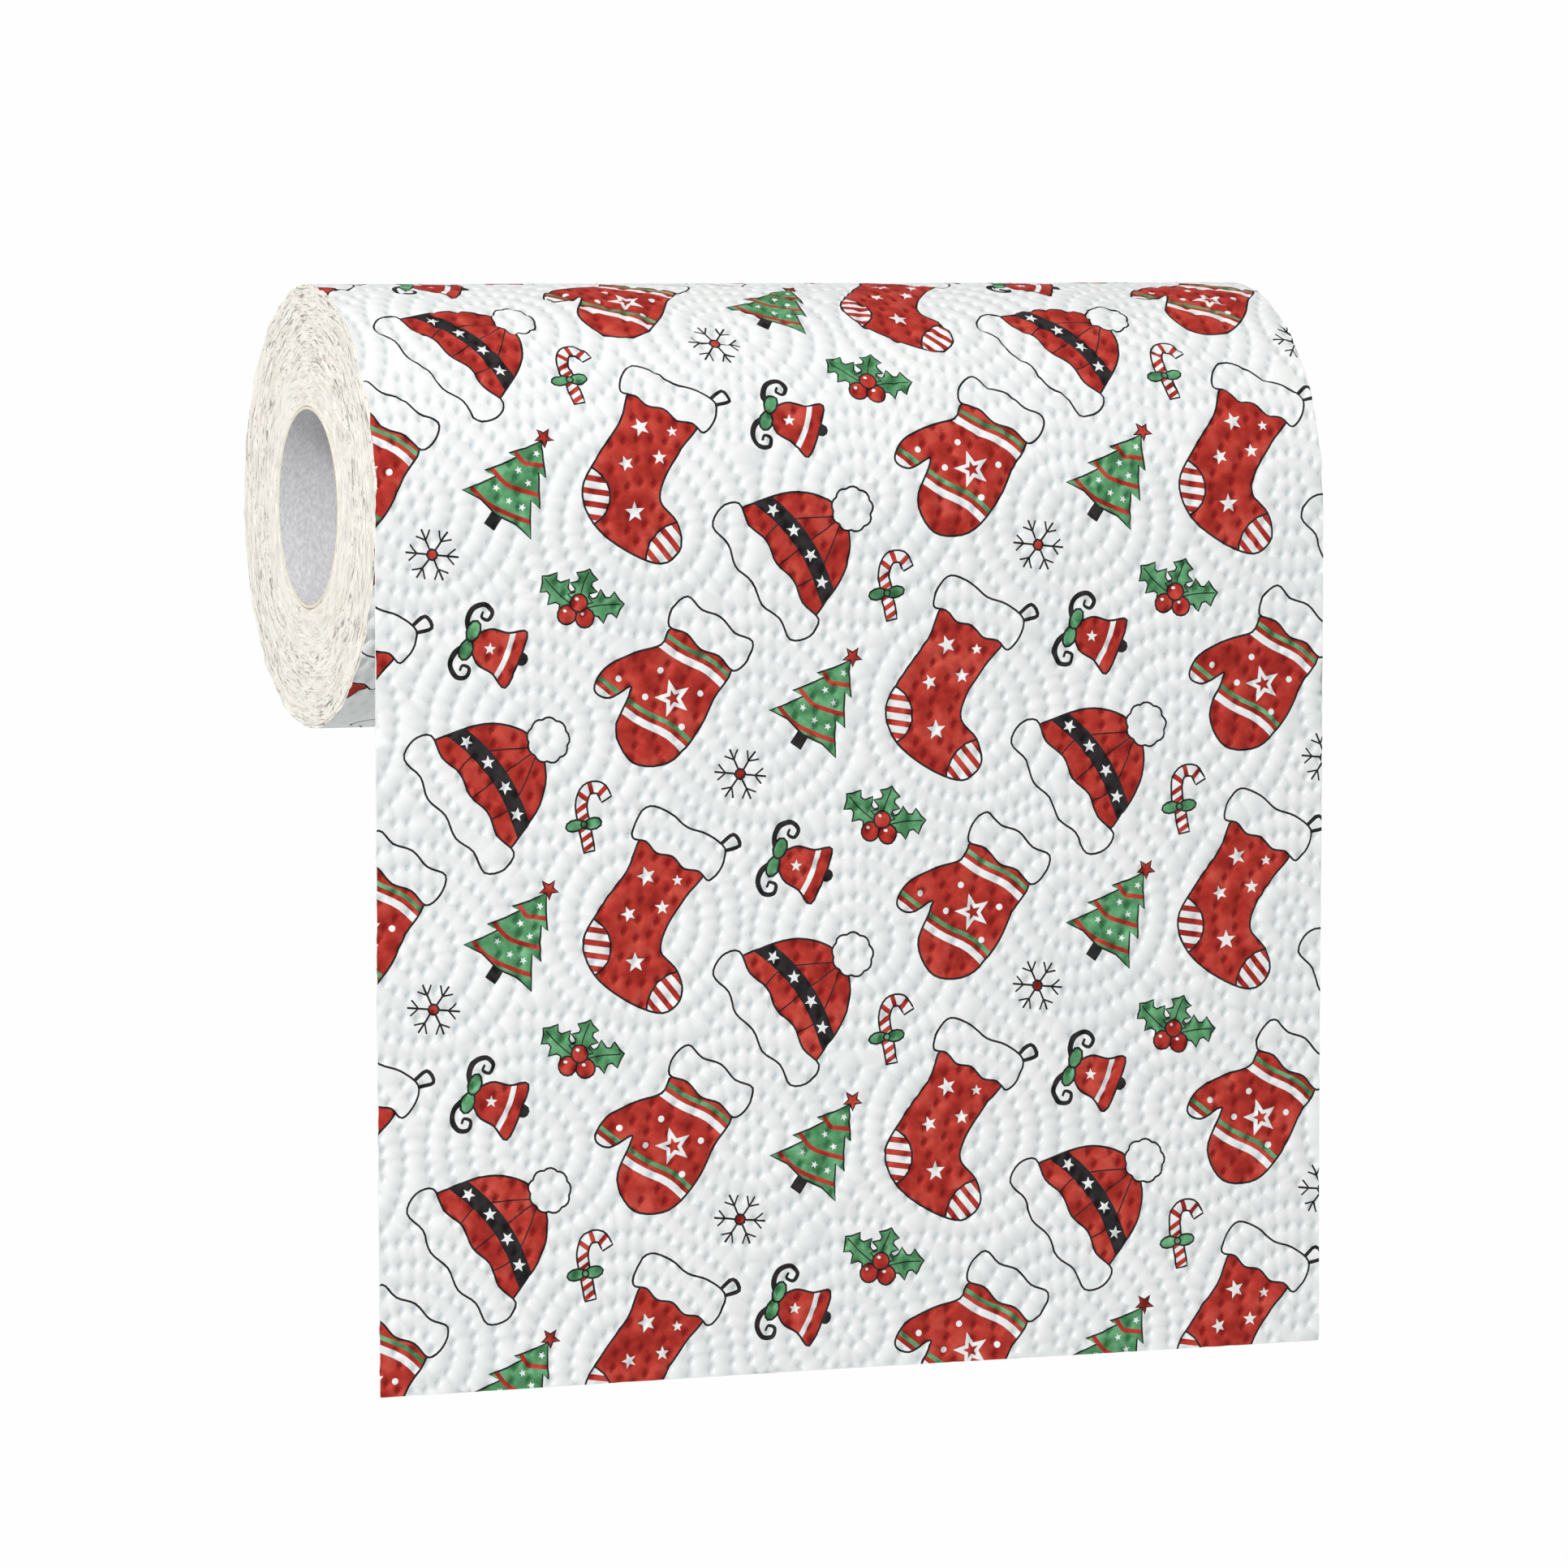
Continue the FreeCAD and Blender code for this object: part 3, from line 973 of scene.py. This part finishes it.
def coreMaterial():
    # Fibres that wind along the tube at a slant
    material, nodes, links, shader = newMaterial("core_card", 0.9)
    slant = nodes.new("ShaderNodeMapping")
    slant.inputs["Rotation"].default_value = coreValues["fibreTurn"]
    slant.inputs["Scale"].default_value = coreValues["fibreScale"]
    links.new(nodes.new("ShaderNodeTexCoord").outputs["Object"], slant.inputs["Vector"])
    fibre = addNoise(nodes, links, slant.outputs["Vector"], 1.0, 3, 0.6)
    links.new(addTones(nodes, links, fibre, coreValues["insideTones"]), shader.inputs["Base Color"])
    addBump(nodes, links, shader, fibre, 0.25, coreValues["fibreHeight"])
    return material


def rimMaterial():
    # Tan card where the tube was cut
    material, nodes, links, shader = newMaterial("core_rim", 0.9)
    spot = nodes.new("ShaderNodeTexCoord").outputs["Object"]
    fibre = addNoise(nodes, links, spot, coreValues["rimFibres"], 3, 0.6)
    links.new(addTones(nodes, links, fibre, coreValues["rimTones"]), shader.inputs["Base Color"])
    addBump(nodes, links, shader, fibre, 0.4, coreValues["fibreHeight"])
    return material


def makeCore():
    c = coreValues
    bpy.ops.mesh.primitive_cylinder_add(vertices=c["sides"], radius=c["boreRadius"] + c["wall"],
                                        depth=c["length"], end_fill_type="NOTHING",
                                        rotation=(0, math.pi / 2, 0))
    tube = bpy.context.object
    tube.name = tube.data.name = "core_tube"
    bpy.ops.object.transform_apply(location=True, rotation=True, scale=True)
    wall = tube.modifiers.new("wall", "SOLIDIFY")
    wall.thickness = c["wall"]
    wall.offset = -1
    bpy.ops.object.modifier_apply(modifier="wall")
    rounding = tube.modifiers.new("rounding", "BEVEL")
    rounding.width = c["rounding"]
    rounding.segments = 2
    rounding.limit_method = "ANGLE"
    bpy.ops.object.modifier_apply(modifier="rounding")
    tube.data.materials.append(coreMaterial())
    tube.data.materials.append(rimMaterial())
    for face in tube.data.polygons:
        if abs(face.normal.x) > 0.3:
            face.material_index = 1
    finishPiece(tube, 40)
    print("core_tube made")
    return tube


core = makeCore()
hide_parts("core")

# Stage, lights and camera
stageValues = {
    "floorHeight": -0.6,
    "floorSize": 12.0,
    "floorTone": 0.75,
    "worldLight": 0.35,
    "worldTint": (0.965, 0.985, 1.0),
    "white": 0.99,
    "lightsAim": (0, 0, -0.05),
}

# Each light: its place, its size, its energy and its tint
lightValues = {
    "key": ((-1.75, -1.38, 1.25), 0.8, 53.5, (1, 1, 1)),
    "fill": ((1.6, -1.8, 0.5), 1.6, 3.0, (1, 1, 1)),
    "top": ((-0.3, 0.1, 2.2), 1.0, 5.5, (1.0, 0.87, 0.8)),
    "back": ((1.4, 1.8, 0.3), 1.2, 15.0, (1, 1, 1)),
}

cameraValues = {
    "place": (-0.5863, -1.5226, 0.0582),
    "heading": 21.08,
    "dip": 4.33,
    "lens": 162.7,
    "sensor": 36.0,
}


def whiteToCamera(nodeTree, shader, output):
    # What the camera sees of this is plain white, and what lights the object is softer
    nodes, links = nodeTree.nodes, nodeTree.links
    isMaterial = output.bl_idname == "ShaderNodeOutputMaterial"
    white = nodes.new("ShaderNodeEmission" if isMaterial else "ShaderNodeBackground")
    white.inputs["Color"].default_value = (1, 1, 1, 1)
    white.inputs["Strength"].default_value = stageValues["white"]
    rays = nodes.new("ShaderNodeLightPath")
    choice = nodes.new("ShaderNodeMixShader")
    links.new(rays.outputs["Is Camera Ray"], choice.inputs["Fac"])
    links.new(shader, choice.inputs[1])
    links.new(white.outputs[0], choice.inputs[2])
    links.new(choice.outputs["Shader"], output.inputs["Surface"])


def addLight(name, place, size, energy, tint):
    bpy.ops.object.light_add(type="AREA", location=place)
    light = bpy.context.object
    light.name = name
    light.data.shape = "DISK"
    light.data.size = size
    light.data.energy = energy
    light.data.color = tint
    aim = Vector(stageValues["lightsAim"]) - Vector(place)
    light.rotation_euler = aim.to_track_quat("-Z", "Y").to_euler()


stage = stageValues
bpy.ops.mesh.primitive_plane_add(size=stage["floorSize"], location=(0, 0, stage["floorHeight"]))
floor = bpy.context.object
floor.name = "floor"
floorMaterial, floorNodes, floorLinks, floorShader = newMaterial("floor_white", 0.9)
floorShader.inputs["Base Color"].default_value = grey(stage["floorTone"])
whiteToCamera(floorMaterial.node_tree, floorShader.outputs["BSDF"], floorNodes["Material Output"])
floor.data.materials.append(floorMaterial)

world = bpy.data.worlds.new("studio")
bpy.context.scene.world = world
world.use_nodes = True
air = world.node_tree.nodes["Background"]
air.inputs["Color"].default_value = (*stage["worldTint"], 1)
air.inputs["Strength"].default_value = stage["worldLight"]
whiteToCamera(world.node_tree, air.outputs["Background"], world.node_tree.nodes["World Output"])

for lightName, settings in lightValues.items():
    addLight(lightName, *settings)

view = cameraValues
heading, dip = math.radians(view["heading"]), math.radians(view["dip"])
bpy.ops.object.camera_add(location=view["place"], rotation=(math.pi / 2 - dip, 0, -heading))
camera = bpy.context.object
camera.data.lens = view["lens"]
camera.data.sensor_width = view["sensor"]
bpy.context.scene.camera = camera
bpy.context.scene.view_settings.view_transform = "Standard"
print("stage, lights and camera set")
